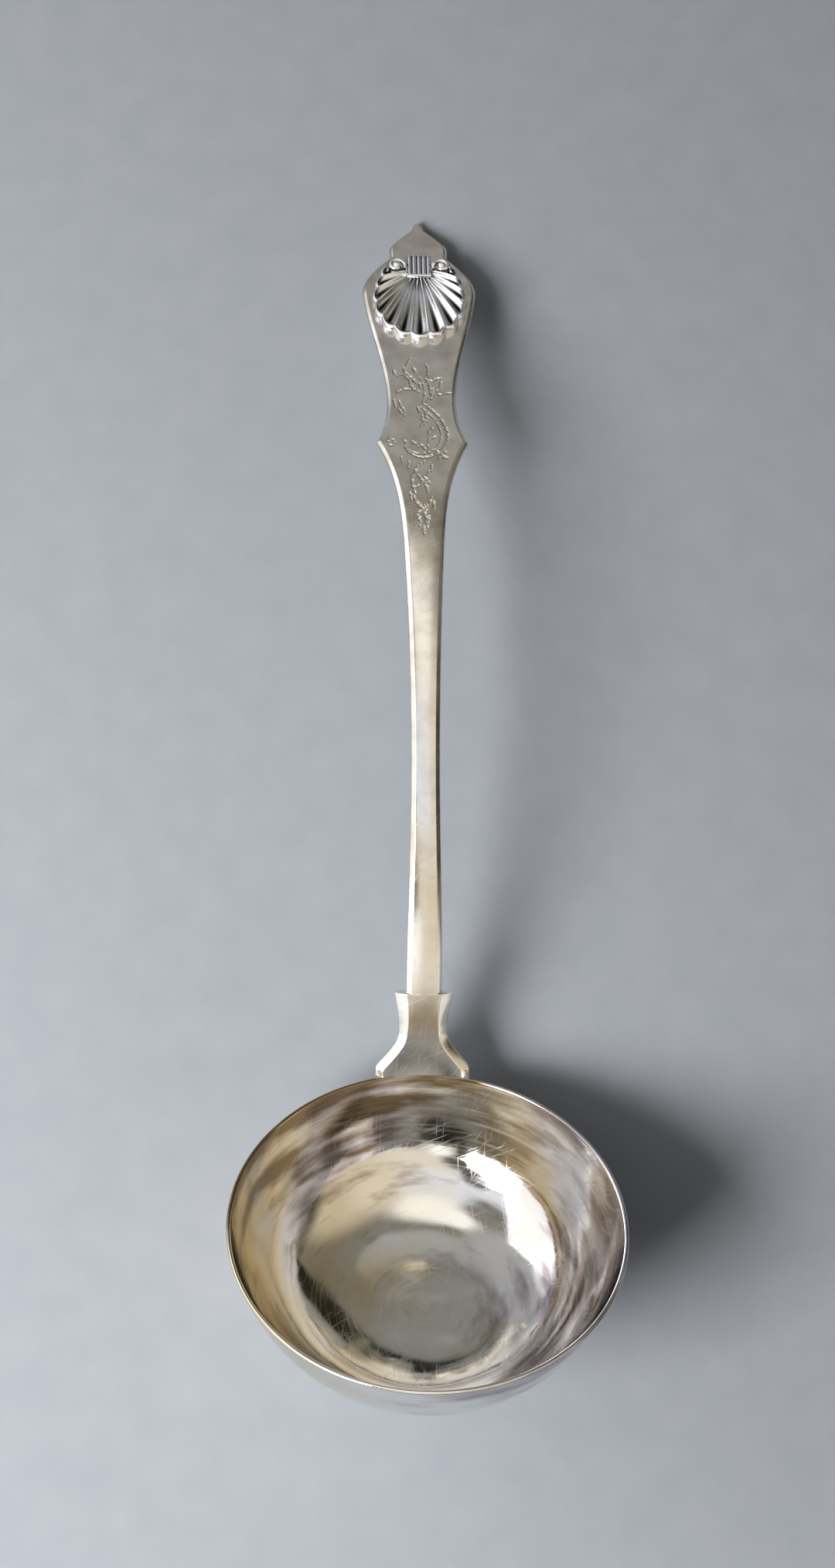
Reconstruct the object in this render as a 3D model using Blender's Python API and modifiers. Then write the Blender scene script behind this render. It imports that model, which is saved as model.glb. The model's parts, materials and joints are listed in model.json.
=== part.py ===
"""Silver soup ladle, lying on a table on its bowl and the tip of its handle.

Three pieces, silver-soldered together: a raised bowl, a forged handle whose foot stands on
the bowl's lip and laps its outside as a rounded tongue, and a scallop shell cast with its
reeded hinge and two scrolls and set on the handle's flat end.

The pieces are modelled in the bowl's own frame: the lip lies in the plane z = 0, the bowl's
axis is Z, and the handle leaves along +Y. An empty then tilts the ladle until it lies on the
table, with the table at z = 0 and the origin under the middle of its box.
"""

import math

import bmesh
import bpy
import numpy as np
from mathutils import Matrix, Vector
from mathutils.geometry import interpolate_bezier

MM = 0.001

# Fit between soldered pieces: the film of solder that fills it
SEAM = 0.3 * MM

# Bowl
BOWL_RADIUS = 52.0 * MM
BOWL_DEPTH = 36.0 * MM
BASE_RADIUS = 14.0 * MM
WALL = 1.2 * MM
LIP_ANGLE = math.radians(76.0)
SIDE_FULLNESS = 23.0 * MM
BELLY_FULLNESS = 22.0 * MM
# Not a multiple of four, so that a flat and not an edge of the turned wall faces the table
BOWL_STEPS = 78
CURVE_STEPS = 14
LIP_STEPS = 4

# Handle, seen from the side: an arch from the lip, then the straight flat end
ARCH_REACH = 126.0 * MM
ARCH_RISE = 128.0 * MM
ARCH_PULL_LIP = 64.0 * MM
ARCH_PULL_END = 64.0 * MM
END_ANGLE = math.radians(21.0)
END_LENGTH = 96.0 * MM
LAP_LENGTH = 18.0 * MM

# Handle, thickness from the lapped tongue to the tip
LAP_EDGE = 0.7 * MM
LAP_THICKNESS = 1.7 * MM
EAR_THICKNESS = 3.3 * MM
STEM_THICKNESS = 4.3 * MM
END_THICKNESS = 2.3 * MM

# Handle, half-widths seen from the front
FOOT_HALF = 13.1 * MM
NECK_HALF = 6.75 * MM
EAR_HALF = 8.1 * MM
STEM_ROOT_HALF = 4.95 * MM
STEM_WAIST_HALF = 4.0 * MM
STEM_TOP_HALF = 5.6 * MM
SHOULDER_HALF = 13.4 * MM
WAIST_HALF = 10.3 * MM
LOBE_HALF = 17.5 * MM
NOTCH_HALF = 9.0 * MM
FINIAL_HALF = 9.1 * MM
TIP_HALF = 1.2 * MM

# Handle, lengths of its stretches: upwards from the lip, then downwards from the tip
FOOT_SIDE = 3.0 * MM
FLARE_LENGTH = 11.0 * MM
EAR_LENGTH = 11.4 * MM
EAR_STEP = 0.5 * MM
FINIAL_LENGTH = 11.0 * MM
NOTCH_LENGTH = 4.0 * MM
LOBE_LENGTH = 15.0 * MM
TAPER_LENGTH = 45.0 * MM
SHOULDER_LENGTH = 16.0 * MM
SWEEP_LENGTH = 40.0 * MM

# Handle, bevelled edges
FOOT_BEVEL = 2.1 * MM
NECK_BEVEL = 2.3 * MM
EAR_BEVEL = 3.3 * MM
STEM_BEVEL = 1.4 * MM
END_BEVEL = 1.1 * MM
BACK_BEVEL = 0.6 * MM
BEVEL_SLOPE = 0.8
BEVEL_SHARE = 0.75
FRONT_POINTS = 7

# Shell: a fan of hollow flutes under a reeded hinge bar with a scroll at each end
SHELL_LENGTH = 26.0 * MM
SHELL_SIDE = 11.8 * MM
SHELL_TAPER = 3.5
SHELL_SPREAD = math.radians(231.0)
SHELL_CROWD = 0.736
FLUTES = 13
FLUTE_STEPS = 6
FLUTE_ROWS = 10
FLUTE_DEPTH = 1.2 * MM
FLUTE_FALL = 1.2
FLUTE_LIP = 8.0
SCALLOP = 1.1 * MM
RIDGE_HEIGHT = 2.6 * MM
RIDGE_DOME = 0.62
ROOT_HEIGHT = 1.5 * MM
ROOT_RADIUS = 1.3 * MM
HINGE_HALF = 3.7 * MM
HINGE_LENGTH = 9.4 * MM
HINGE_HEIGHT = 1.9 * MM
HINGE_OVERLAP = 0.4 * MM
HINGE_TO_FINIAL = 5.4 * MM
REEDS = 5
REED_RISE = 0.45 * MM
REED_STEPS = 6
SCROLL_RADIUS = 3.0 * MM
SCROLL_BASE = 1.3 * MM
SCROLL_WIRE = SCROLL_RADIUS / 6
SCROLL_EYE = SCROLL_RADIUS / 3.8
SCROLL_TURNS = 1.3
SCROLL_STEPS = 26
SCROLL_SIDES = 20
SCROLL_OVERLAP = 0.5 * MM


def bowl_curve(lip_radius, floor):
    """Points (radius, z) of a bowl surface from its lip down to the edge of its flat base."""
    lip = Vector((lip_radius, 0.0))
    edge = Vector((BASE_RADIUS, floor))
    down = Vector((-math.cos(LIP_ANGLE), -math.sin(LIP_ANGLE)))
    points = interpolate_bezier(
        lip,
        lip + down * SIDE_FULLNESS,
        edge + Vector((BELLY_FULLNESS, 0.0)),
        edge,
        CURVE_STEPS,
    )
    return np.array(points)[:, :2]


def outer_curve():
    return bowl_curve(BOWL_RADIUS, -BOWL_DEPTH)


def inner_curve():
    return bowl_curve(BOWL_RADIUS - WALL, WALL - BOWL_DEPTH)


def turned(name, profile, steps, collection):
    """A solid turned about Z from a profile of (radius, z) points that runs down its outer side."""
    mesh = bpy.data.meshes.new(name)
    points = [(radius, 0.0, z) for radius, z in profile]
    edges = [(i, i + 1) for i in range(len(points) - 1)]
    mesh.from_pydata(points, edges, [])
    turned_object = bpy.data.objects.new(name, mesh)
    collection.objects.link(turned_object)
    screw = turned_object.modifiers.new("turn", "SCREW")
    screw.axis = "Z"
    screw.angle = 2 * math.pi
    screw.steps = steps
    screw.render_steps = steps
    screw.use_merge_vertices = True
    screw.merge_threshold = 0.01 * MM
    screw.use_smooth_shade = True
    return turned_object


def make_bowl(collection):
    """The raised bowl: inner wall up from the floor, a half-round lip, and the outer wall down."""
    inner = [tuple(p) for p in inner_curve()[::-1]]
    outer = [tuple(p) for p in outer_curve()]
    half = WALL / 2
    lip = []
    for step in range(1, LIP_STEPS):
        angle = math.pi * (1 - step / LIP_STEPS)
        lip.append((BOWL_RADIUS - half + half * math.cos(angle), half * math.sin(angle)))
    floor = (0.0, WALL - BOWL_DEPTH)
    underside = (0.0, -BOWL_DEPTH)
    return turned("bowl", [floor, *inner, *lip, *outer, underside], BOWL_STEPS, collection)


def make_seat(collection):
    """The space that the bowl takes out of the handle's foot: its outside, one seam larger."""
    curve = outer_curve()
    along = np.gradient(curve, axis=0)
    along /= np.linalg.norm(along, axis=1)[:, None]
    outward = np.stack([-along[:, 1], along[:, 0]], axis=1)
    outside = [tuple(p) for p in curve + outward * SEAM]
    top = WALL / 2 + SEAM
    brim = BOWL_RADIUS + SEAM
    profile = [(0.0, top), (brim, top), *outside, (0.0, -BOWL_DEPTH - SEAM)]
    return turned("bowl_seat", profile, BOWL_STEPS, collection)


class HandlePath:
    """The handle's front face seen from the side, by its length from the bowl's lip."""

    def __init__(self):
        lip = Vector((BOWL_RADIUS - WALL, 0.0))
        arch_end = lip + Vector((ARCH_REACH, ARCH_RISE))
        leaving = Vector((math.cos(LIP_ANGLE), math.sin(LIP_ANGLE)))
        arriving = Vector((math.cos(END_ANGLE), math.sin(END_ANGLE)))
        arch = interpolate_bezier(
            lip,
            lip + leaving * ARCH_PULL_LIP,
            arch_end - arriving * ARCH_PULL_END,
            arch_end,
            200,
        )
        below = inner_curve()[:0:-1]
        above = np.array(arch)[:, :2]
        tip = np.array(arch_end + arriving * END_LENGTH)
        self.points = np.concatenate([below, above, [tip]])
        steps = np.linalg.norm(np.diff(self.points, axis=0), axis=1)
        self.lengths = np.concatenate([[0.0], np.cumsum(steps)])
        self.lengths -= self.lengths[len(below)]
        self.length = self.lengths[-1]

    def at(self, length):
        """The (y, z) point at this length."""
        return np.array([np.interp(length, self.lengths, axis) for axis in self.points.T])

    def angle(self, length):
        """The slope there above the lip's plane."""
        reach = 1.0 * MM
        step = self.at(min(length + reach, self.length)) - self.at(length - reach)
        return math.atan2(step[1], step[0])


def ease(start, end, slope_start=0.0, slope_end=0.0, steps=8):
    """Points (length, value) on a cubic from start to end with these slopes, without its start."""
    length = end[0] - start[0]
    points = []
    for t in np.linspace(0, 1, steps + 1)[1:]:
        value = (
            (2 * t**3 - 3 * t**2 + 1) * start[1]
            + (t**3 - 2 * t**2 + t) * length * slope_start
            + (3 * t**2 - 2 * t**3) * end[1]
            + (t**3 - t**2) * length * slope_end
        )
        points.append((start[0] + t * length, value))
    return points


def handle_stretches(path):
    """The lengths from the lip at which the handle's outline changes."""
    corner = FOOT_SIDE
    neck = corner + FLARE_LENGTH
    ears = neck + EAR_LENGTH
    finial = path.length - FINIAL_LENGTH
    notch = finial - NOTCH_LENGTH
    lobe = notch - LOBE_LENGTH
    waist = lobe - TAPER_LENGTH
    shoulder = waist - SHOULDER_LENGTH
    stem_top = shoulder - SWEEP_LENGTH
    return corner, neck, ears, stem_top, shoulder, waist, lobe, notch, finial


def handle_outline(path):
    """The handle's (length, half-width) stations from the end of the tongue to the tip."""
    corner, neck, ears, stem_top, shoulder, waist, lobe, notch, finial = handle_stretches(path)
    root = ears + EAR_STEP
    middle = (root + stem_top) / 2
    tongue = []
    for angle in np.linspace(0.04, 0.5, 9) * math.pi:
        tongue.append((-LAP_LENGTH * math.cos(angle), FOOT_HALF * math.sin(angle)))
    return [
        *tongue,
        *ease((0.0, FOOT_HALF), (corner, FOOT_HALF), steps=3),
        *ease((corner, FOOT_HALF), (neck, NECK_HALF), slope_start=-0.95, steps=10),
        *ease((neck, NECK_HALF), (ears, EAR_HALF), slope_end=0.17, steps=6),
        (root, STEM_ROOT_HALF),
        *ease((root, STEM_ROOT_HALF), (middle, STEM_WAIST_HALF), steps=12),
        *ease((middle, STEM_WAIST_HALF), (stem_top, STEM_TOP_HALF), slope_end=0.05, steps=10),
        *ease((stem_top, STEM_TOP_HALF), (shoulder, SHOULDER_HALF), 0.05, 0.48, steps=12),
        *ease((shoulder, SHOULDER_HALF), (waist, WAIST_HALF), slope_start=-0.45, steps=6),
        *ease((waist, WAIST_HALF), (lobe, LOBE_HALF), slope_end=0.1, steps=12),
        *ease((lobe, LOBE_HALF), (notch, NOTCH_HALF), slope_end=-1.05, steps=8),
        (finial, FINIAL_HALF),
        *ease((finial, FINIAL_HALF), (path.length, TIP_HALF), -0.1, -0.15, steps=8),
    ]


def handle_sizes(path, length):
    """Thickness and edge bevel of the handle at this length from the lip."""
    _, neck, ears, stem_top, shoulder, waist, *_ = handle_stretches(path)
    lapped = WALL + SEAM + LAP_THICKNESS
    lap_end = WALL + SEAM + LAP_EDGE
    middle = (ears + stem_top) / 2
    root = ears + EAR_STEP
    places = [-LAP_LENGTH, 0.0, neck, ears, root, middle, stem_top, shoulder, waist]
    thicknesses = [
        lap_end,
        lapped,
        EAR_THICKNESS,
        EAR_THICKNESS,
        EAR_THICKNESS,
        STEM_THICKNESS,
        (STEM_THICKNESS + END_THICKNESS) / 2,
        END_THICKNESS,
        END_THICKNESS,
    ]
    bevels = [FOOT_BEVEL] * 2 + [NECK_BEVEL, EAR_BEVEL] + [STEM_BEVEL] * 3 + [END_BEVEL] * 2
    return np.interp(length, places, thicknesses), np.interp(length, places, bevels)


def foot_sag(path, length, offset, neck):
    """How far a point beside the handle's midline bends round the bowl, dying out at the neck."""
    radius = path.at(min(length, 0.0))[0]
    fade = np.interp(length, [0.0, neck], [1.0, 0.0])
    return (radius - math.sqrt(max(radius**2 - offset**2, 0.0))) * fade**2


def handle_ring(path, length, half, neck):
    """The points round the handle's section at this length, front first, clockwise from +X."""
    thickness, bevel = handle_sizes(path, length)
    bevel = min(bevel, half / 2)
    back_bevel = min(BACK_BEVEL, half / 2)
    drop = min(BEVEL_SLOPE * bevel, BEVEL_SHARE * (thickness - back_bevel))
    across = np.linspace(1, -1, FRONT_POINTS)
    section = [(x * (half - bevel), 0.0) for x in across]
    section.append((-half, -drop))
    section.append((-half, back_bevel - thickness))
    section += [(x * (half - back_bevel), -thickness) for x in across[::-1]]
    section.append((half, back_bevel - thickness))
    section.append((half, -drop))
    y, z = path.at(length)
    angle = path.angle(length)
    ring = []
    for offset, depth in section:
        inward = foot_sag(path, length, offset, neck)
        ring.append(
            (offset, y - math.sin(angle) * depth - inward, z + math.cos(angle) * depth)
        )
    return ring


def loft(name, rings, collection):
    """A closed solid through rings of equally many points, with flat ends."""
    body = bmesh.new()
    loops = [[body.verts.new(point) for point in ring] for ring in rings]
    for lower, upper in zip(loops, loops[1:]):
        for i in range(len(lower)):
            j = (i + 1) % len(lower)
            body.faces.new((lower[i], lower[j], upper[j], upper[i]))
    body.faces.new(loops[0])
    body.faces.new(loops[-1])
    bmesh.ops.recalc_face_normals(body, faces=body.faces)
    return mesh_object(name, body, collection)


def mesh_object(name, body, collection):
    """A new object from a bmesh, which is freed."""
    mesh = bpy.data.meshes.new(name)
    body.to_mesh(mesh)
    body.free()
    made = bpy.data.objects.new(name, mesh)
    collection.objects.link(made)
    return made


def as_helper(helper):
    helper.hide_render = True
    helper.display_type = "WIRE"


def combine(target, other, operation):
    """A Boolean modifier on target with a helper object."""
    modifier = target.modifiers.new(operation.lower() + "_" + other.name, "BOOLEAN")
    modifier.operation = operation
    modifier.object = other
    as_helper(other)


def make_handle(path, parts, helpers):
    """The forged handle, from the tongue behind the bowl to the finial, seated on the bowl."""
    neck = handle_stretches(path)[1]
    rings = [handle_ring(path, length, half, neck) for length, half in handle_outline(path)]
    handle = loft("handle", rings, parts)
    combine(handle, make_seat(helpers), "DIFFERENCE")
    return handle


def scoop(along):
    """How deep a flute is at this share of its length: deepest short of the rim, level at it."""
    peak = (FLUTE_FALL / (FLUTE_FALL + FLUTE_LIP)) ** (1 / FLUTE_LIP)
    return along**FLUTE_FALL * (1 - along**FLUTE_LIP) / (peak**FLUTE_FALL * (1 - peak**FLUTE_LIP))


def fan_point(across, along):
    """A point of the shell's top: across runs over the flutes, along from hinge to rim, 0 to 1.

    The middle flutes are crowded closer than the outer ones and are the longest.
    """
    side = 1 - 2 * across
    swing = SHELL_SPREAD / 2 * (SHELL_CROWD * side + (1 - SHELL_CROWD) * side**3)
    facing = (1 + math.cos(swing)) / 2
    hollow = abs(math.sin(math.pi * FLUTES * across))
    rim = SHELL_SIDE + (SHELL_LENGTH - SHELL_SIDE) * facing**SHELL_TAPER
    rim += SCALLOP * (hollow - 1)
    radius = ROOT_RADIUS + along * (rim - ROOT_RADIUS)
    dome = math.sin(math.pi * RIDGE_DOME * along)
    ridge = ROOT_HEIGHT + (RIDGE_HEIGHT - ROOT_HEIGHT) * dome
    height = ridge - FLUTE_DEPTH * hollow * scoop(along)
    return Vector((math.sin(swing) * radius, -math.cos(swing) * radius, height))


def make_fan(collection):
    """The fan of flutes, as a grid bent into the fan and closed down to a flat underside."""
    body = bmesh.new()
    bmesh.ops.create_grid(
        body, x_segments=FLUTES * FLUTE_STEPS, y_segments=FLUTE_ROWS, size=0.5
    )
    for vert in body.verts:
        along = 1 - (0.5 - vert.co.y) ** 1.4
        vert.co = fan_point(vert.co.x + 0.5, along)
    made = bmesh.ops.extrude_face_region(body, geom=body.faces[:], use_keep_orig=True)
    for vert in made["geom"]:
        if isinstance(vert, bmesh.types.BMVert):
            vert.co.z = 0.0
    bmesh.ops.recalc_face_normals(body, faces=body.faces)
    return mesh_object("shell", body, collection)


def make_hinge(collection):
    """The hinge bar above the fan, with reeds along its top."""
    section = [(HINGE_HALF, 0.0)]
    steps = REEDS * REED_STEPS
    for step in range(steps + 1):
        across = step / steps
        rise = REED_RISE * (abs(math.sin(math.pi * REEDS * across)) - 1)
        section.append((HINGE_HALF * (1 - 2 * across), HINGE_HEIGHT + rise))
    section.append((-HINGE_HALF, 0.0))
    body = bmesh.new()
    foot = -ROOT_RADIUS - HINGE_OVERLAP
    face = body.faces.new([body.verts.new((x, foot, z)) for x, z in section])
    made = bmesh.ops.extrude_face_region(body, geom=[face], use_keep_orig=True)
    moved = [item for item in made["geom"] if isinstance(item, bmesh.types.BMVert)]
    bmesh.ops.translate(body, verts=moved, vec=(0.0, HINGE_LENGTH - foot, 0.0))
    bmesh.ops.recalc_face_normals(body, faces=body.faces)
    return mesh_object("shell_hinge", body, collection)


def make_scroll(side, collection):
    """The drum and the spiral wire of the scroll at one end of the hinge bar, side is 1 or -1."""
    hand = "right" if side > 0 else "left"
    centre = Vector((side * (HINGE_HALF + SCROLL_RADIUS - SCROLL_OVERLAP), HINGE_LENGTH / 2, 0.0))
    body = bmesh.new()
    bmesh.ops.create_cone(
        body,
        cap_ends=True,
        segments=SCROLL_SIDES,
        radius1=SCROLL_RADIUS,
        radius2=SCROLL_RADIUS,
        depth=SCROLL_BASE,
        matrix=Matrix.Translation(centre + Vector((0.0, 0.0, SCROLL_BASE / 2))),
    )
    drum = mesh_object(f"shell_drum_{hand}", body, collection)
    curve = bpy.data.curves.new("spiral", "CURVE")
    curve.dimensions = "3D"
    curve.bevel_depth = SCROLL_WIRE
    curve.bevel_resolution = 1
    curve.use_fill_caps = True
    spline = curve.splines.new("POLY")
    spline.points.add(SCROLL_STEPS - 1)
    for i, point in enumerate(spline.points):
        share = i / (SCROLL_STEPS - 1)
        angle = math.pi * (0.8 - 2 * SCROLL_TURNS * share)
        radius = SCROLL_EYE + (SCROLL_RADIUS - SCROLL_WIRE - SCROLL_EYE) * (1 - share)
        x = centre.x + side * radius * math.cos(angle)
        y = centre.y + radius * math.sin(angle)
        point.co = (x, y, SCROLL_BASE, 1.0)
        point.radius = 0.8 + 0.2 * share
    wound = bpy.data.objects.new("spiral", curve)
    collection.objects.link(wound)
    return [drum, curve_to_mesh(wound, f"shell_spiral_{hand}", collection)]


def curve_to_mesh(wound, name, collection):
    """The curve's solid as a mesh object with its caps welded; the curve is removed."""
    evaluated = wound.evaluated_get(bpy.context.evaluated_depsgraph_get())
    mesh = bpy.data.meshes.new_from_object(evaluated)
    body = bmesh.new()
    body.from_mesh(mesh)
    bmesh.ops.remove_doubles(body, verts=body.verts, dist=0.001 * MM)
    bmesh.ops.recalc_face_normals(body, faces=body.faces)
    made = mesh_object(name, body, collection)
    made.matrix_world = wound.matrix_world
    bpy.data.objects.remove(wound)
    bpy.data.meshes.remove(mesh)
    return made


def make_shell(path, parts, helpers):
    """The cast shell on the handle's flat end, its hinge just below the finial."""
    shell = make_fan(parts)
    joined = [make_hinge(helpers), *make_scroll(1, helpers), *make_scroll(-1, helpers)]
    finial = handle_stretches(path)[-1]
    length = finial - HINGE_TO_FINIAL - HINGE_LENGTH
    y, z = path.at(length)
    seat = Vector((0.0, y - math.sin(END_ANGLE) * SEAM, z + math.cos(END_ANGLE) * SEAM))
    placed = Matrix.Translation(seat) @ Matrix.Rotation(END_ANGLE, 4, "X")
    shell.matrix_world = placed
    for piece in joined:
        piece.matrix_world = placed
        combine(shell, piece, "UNION")
    return shell


def silver(name, colour, roughness):
    material = bpy.data.materials.new(name)
    material.use_nodes = True
    shader = material.node_tree.nodes["Principled BSDF"]
    shader.inputs["Base Color"].default_value = (*colour, 1.0)
    shader.inputs["Metallic"].default_value = 1.0
    shader.inputs["Roughness"].default_value = roughness
    return material


def finish(piece, material):
    piece.data.materials.append(material)
    piece.data.shade_smooth()
    piece.data.set_sharp_from_angle(angle=math.radians(30))


def points_of(piece):
    """The piece's evaluated points in the bowl's frame."""
    evaluated = piece.evaluated_get(bpy.context.evaluated_depsgraph_get())
    mesh = evaluated.to_mesh()
    points = np.array([piece.matrix_world @ vert.co for vert in mesh.vertices])
    evaluated.to_mesh_clear()
    return points


def lay_on_table(pieces, bowl, handle, parts, helpers):
    """Tilts the pieces about X until the bowl and the handle's tip both touch the table."""
    bpy.context.view_layer.update()
    bowl_points = points_of(bowl)
    handle_points = points_of(handle)
    beyond = handle_points[handle_points[:, 1] > BOWL_RADIUS + ARCH_REACH]

    def lowest(points, tilt):
        return np.min(points[:, 2] * math.cos(tilt) - points[:, 1] * math.sin(tilt))

    shallow, steep = 0.0, math.pi / 2
    for _ in range(50):
        tilt = (shallow + steep) / 2
        if lowest(beyond, tilt) > lowest(bowl_points, tilt):
            shallow = tilt
        else:
            steep = tilt
    turn = np.array(Matrix.Rotation(-tilt, 3, "X"))
    laid = np.concatenate([points_of(piece) for piece in pieces]) @ turn.T
    low, high = laid.min(axis=0), laid.max(axis=0)
    frame = bpy.data.objects.new("ladle_on_table", None)
    for piece in [*parts.objects, *helpers.objects]:
        piece.parent = frame
    parts.objects.link(frame)
    frame.rotation_euler = (-tilt, 0.0, 0.0)
    frame.location = (0.0, -(low[1] + high[1]) / 2, -low[2])


def main():
    for leftover in list(bpy.data.objects):
        bpy.data.objects.remove(leftover)
    parts = bpy.data.collections.new("soup_ladle")
    helpers = bpy.data.collections.new("helpers")
    bpy.context.scene.collection.children.link(parts)
    bpy.context.scene.collection.children.link(helpers)
    path = HandlePath()
    bowl = make_bowl(parts)
    handle = make_handle(path, parts, helpers)
    shell = make_shell(path, parts, helpers)
    finish(bowl, silver("polished_silver_bowl", (0.80, 0.77, 0.72), 0.16))
    finish(handle, silver("polished_silver_handle", (0.82, 0.80, 0.76), 0.22))
    finish(shell, silver("cast_silver_shell", (0.74, 0.72, 0.68), 0.28))
    lay_on_table([bowl, handle, shell], bowl, handle, parts, helpers)


main()
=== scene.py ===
"""Looks of an old silver soup ladle lying on pale paper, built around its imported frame.

The raised bowl, the forged and engraved handle and the cast shell are modelled in the bowl's own
frame, where the lip lies in the plane z = 0, the bowl's axis is Z and the handle leaves along +Y.
They are then laid on the table by the place of the bowl's base in the frame's record.
"""

import json
import math

import bmesh
import bpy
import numpy as np
from mathutils import Euler, Matrix, Vector, kdtree, noise
from mathutils.geometry import interpolate_bezier


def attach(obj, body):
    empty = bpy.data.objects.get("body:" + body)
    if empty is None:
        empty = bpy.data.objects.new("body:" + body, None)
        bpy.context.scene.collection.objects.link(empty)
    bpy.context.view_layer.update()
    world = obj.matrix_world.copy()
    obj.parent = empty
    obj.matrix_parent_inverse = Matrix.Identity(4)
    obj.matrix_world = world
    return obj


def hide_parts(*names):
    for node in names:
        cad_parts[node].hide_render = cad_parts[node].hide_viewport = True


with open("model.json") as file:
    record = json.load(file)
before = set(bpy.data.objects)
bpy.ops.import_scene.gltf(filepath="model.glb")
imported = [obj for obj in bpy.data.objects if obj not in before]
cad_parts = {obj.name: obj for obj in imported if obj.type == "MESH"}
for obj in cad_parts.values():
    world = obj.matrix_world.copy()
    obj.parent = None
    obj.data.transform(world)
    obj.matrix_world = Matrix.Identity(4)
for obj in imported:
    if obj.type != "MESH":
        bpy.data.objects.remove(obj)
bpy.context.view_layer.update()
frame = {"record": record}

MM = 0.001
UPRIGHT = math.pi / 2
# Points of a mesh closer than this are welded, those of the handle's fine rings only closer still
WELD = 0.001 * MM
RING_WELD = 0.0001 * MM

# Bowl, as in the part's source
BOWL_RADIUS = 52.0 * MM
BOWL_DEPTH = 36.0 * MM
BASE_RADIUS = 14.0 * MM
WALL = 1.2 * MM
LIP_ANGLE = math.radians(76.0)
SIDE_FULLNESS = 23.0 * MM
BELLY_FULLNESS = 22.0 * MM

# Bowl, finer than the source: steps of the turned wall, and how far hammering left it uneven
BOWL_TURNS = 240
WALL_STEPS = 60
BASE_STEPS = 8
LIP_STEPS = 10
DENT_DEPTH = 0.11 * MM
DENT_SPACING = 15.0 * MM
RIPPLE_DEPTH = 0.032 * MM
RIPPLE_SPACING = 6.0 * MM
RIPPLE_SHIFT = Vector((7.0, 3.0, 5.0))
TRUE_LIP = 5.0 * MM
RING_BELOW_LIP = 16.5 * MM
RING_REACH = 5.0 * MM
RING_HEIGHT = 0.12 * MM
BOWL_CREASE = 60

# Handle, as in the part's source
ARCH_REACH = 126.0 * MM
ARCH_RISE = 128.0 * MM
ARCH_PULL = 64.0 * MM
END_ANGLE = math.radians(21.0)
END_LENGTH = 96.0 * MM
LAP_LENGTH = 18.0 * MM
LAP_EDGE = 0.7 * MM
EAR_THICKNESS = 3.3 * MM
STEM_THICKNESS = 4.3 * MM
END_THICKNESS = 2.3 * MM
FOOT_HALF = 13.1 * MM
NECK_HALF = 6.75 * MM
EAR_HALF = 8.1 * MM
STEM_ROOT_HALF = 4.95 * MM
STEM_WAIST_HALF = 4.0 * MM
STEM_TOP_HALF = 5.6 * MM
SHOULDER_HALF = 13.4 * MM
WAIST_HALF = 10.3 * MM
LOBE_HALF = 17.5 * MM
NOTCH_HALF = 9.0 * MM
FINIAL_HALF = 9.1 * MM
TIP_HALF = 1.2 * MM
FOOT_SIDE = 3.0 * MM
FLARE_LENGTH = 11.0 * MM
EAR_LENGTH = 11.4 * MM
FINIAL_LENGTH = 11.0 * MM
NOTCH_LENGTH = 4.0 * MM
LOBE_LENGTH = 15.0 * MM
TAPER_LENGTH = 45.0 * MM
SHOULDER_LENGTH = 16.0 * MM
SWEEP_LENGTH = 40.0 * MM
FOOT_BEVEL = 2.1 * MM
NECK_BEVEL = 2.3 * MM
STEM_BEVEL = 1.4 * MM
END_BEVEL = 1.1 * MM
BACK_BEVEL = 0.6 * MM
BEVEL_SLOPE = 0.8
BEVEL_SHARE = 0.75

# Handle, finer than the source: a thin solder film, crisper ears, worn edges, a crowned stem and a
# mesh that holds the engraver's cuts, which are deeper than real ones so that they show
SOLDER = 0.03 * MM
LAP_THICKNESS = 1.9 * MM
LAP_BEVEL = 0.1 * MM
EAR_STEP = 0.3 * MM
EAR_BEVEL = 3.4 * MM
EAR_BEVEL_RUN = 1.5 * MM
WORN_EDGE = 0.28 * MM
WORN_SHARE = 0.45
STEM_CROWN = 0.22 * MM
ARCH_POINTS = 400
FACE_POINTS = 105
BACK_POINTS = 9
EDGE_POINTS = 4
TONGUE_STEPS = 34
TONGUE_TIP = 0.012
LIP_TURNS = (30, 60, 90)
FOOT_FROM = 0.8 * MM
BEFORE_EARS = 1.0 * MM
PAST_EARS = 0.6 * MM
ENGRAVED_FROM = 156.0 * MM
ENGRAVED_TO = 226.0 * MM
ENGRAVED_STEP = 0.23 * MM
FOOT_STEP = 0.4 * MM
STEM_STEP = 2.0 * MM
END_STEP = 0.55 * MM
CUT_DEPTH = 0.25 * MM
HANDLE_CREASE = 50

# Shell, as in the part's source
SHELL_LENGTH = 26.0 * MM
SHELL_SIDE = 11.8 * MM
SHELL_TAPER = 3.5
SHELL_SPREAD = math.radians(231.0)
SHELL_CROWD = 0.736
FLUTES = 13
SCALLOP = 1.1 * MM
RIDGE_HEIGHT = 2.6 * MM
RIDGE_DOME = 0.62
ROOT_HEIGHT = 1.5 * MM
HINGE_HALF = 3.7 * MM
HINGE_LENGTH = 9.4 * MM
HINGE_OVERLAP = 0.4 * MM
HINGE_TO_FINIAL = 5.4 * MM
REEDS = 5

# Shell, bolder and finer than the source: the fan's flutes run from under the hinge to a rolled rim
FLUTE_DEPTH = 1.55 * MM
FLUTE_FALL = 0.6
FLUTE_LIP = 30.0
FLUTE_STEPS = 22
FLUTE_ROWS = 70
ROW_CROWD = 1.25
ROOT_RADIUS = 2.0 * MM
ROOT_ABOVE_BAND = 4.5 * MM
RIM_ROUND = 1.0 * MM
RIM_FALL = 1.8 * MM
RIM_STEPS = 14
RIDGE_WEAR = 0.03

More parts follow.
